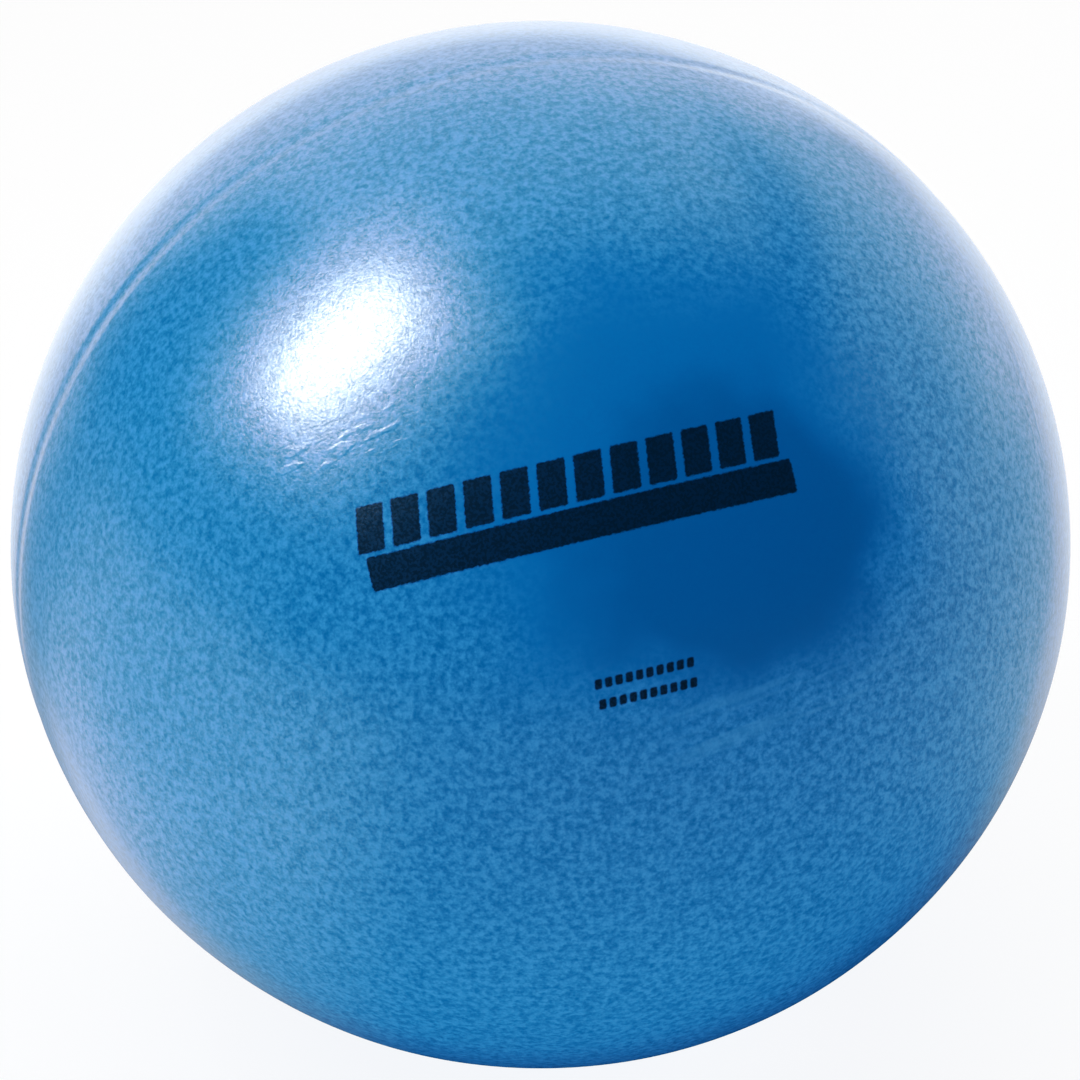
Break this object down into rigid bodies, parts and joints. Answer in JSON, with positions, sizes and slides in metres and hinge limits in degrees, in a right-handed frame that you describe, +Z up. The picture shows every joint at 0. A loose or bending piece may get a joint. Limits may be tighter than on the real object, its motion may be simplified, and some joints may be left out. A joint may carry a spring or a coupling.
{
  "type": "soft pilates ball",
  "caption": "Soft hollow exercise ball with a moulding seam, resting on its flattened base, closed at the rear by a push-in plug in a flanged seat.",
  "frame": {"origin": "centre of the round flat patch that the ball rests on", "axes": "+Z up, the mould's parting plane is XZ, -Y is the front, the valve is at the rear on +Y"},
  "size_m": [0.3014, 0.3021, 0.2955],
  "materials": {
    "ball_skin": "soft blue PVC, satin, with a fine pebbled grain",
    "valve_seat": "thick soft blue PVC, smooth and satin",
    "valve_plug": "white flexible plastic, satin"
  },
  "bodies": {
    "ball": {"ball_skin": "ball_skin", "valve_seat": "valve_seat"},
    "plug": {"valve_plug": "valve_plug"}
  },
  "joints": [
    {"name": "plug_pull", "type": "slide", "parent": "ball", "child": "plug", "axis": [0, 1, 0], "range_m": [0, 0.03]}
  ]
}
